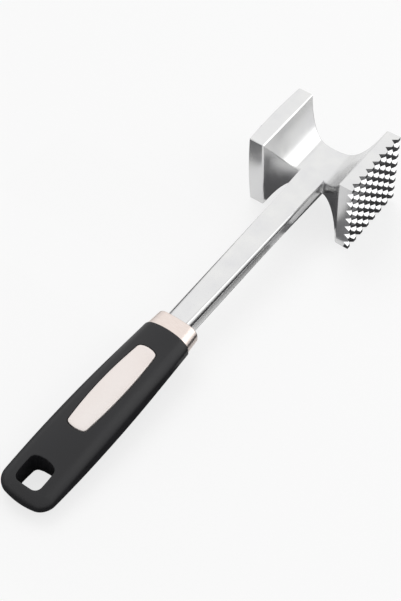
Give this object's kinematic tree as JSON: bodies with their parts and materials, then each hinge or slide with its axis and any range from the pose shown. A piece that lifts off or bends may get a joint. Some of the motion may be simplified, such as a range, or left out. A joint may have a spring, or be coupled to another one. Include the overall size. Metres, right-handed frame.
{
  "type": "meat mallet",
  "caption": "Two-sided meat mallet: a cast waisted head with a plain crowned plate and a toothed plate, a slim shaft, and a soft grip with inlays and a hang hole.",
  "frame": {"origin": "under the middle of the whole mallet's box, on the plane of the two plates' lower edges", "axes": "+Y along the shaft from the butt to the head, +X along the strike from the plain plate to the toothed plate, +Z out of the front of the handle"},
  "size_m": [0.0712, 0.2922, 0.05],
  "materials": {
    "cast_metal": "satin polished casting",
    "ferrule_metal": "satin, pale champagne",
    "core_plastic": "moulded, hidden",
    "grip_rubber": "soft-touch matt",
    "inlay_plastic": "pearl satin",
    "pin_steel": "ground dowel, hidden"
  },
  "bodies": {
    "root": {"head_casting": "cast_metal", "ferrule": "ferrule_metal", "handle_core": "core_plastic", "grip": "grip_rubber", "front_inlay": "inlay_plastic", "back_inlay": "inlay_plastic", "tang_pins": "pin_steel"}
  },
  "joints": []
}
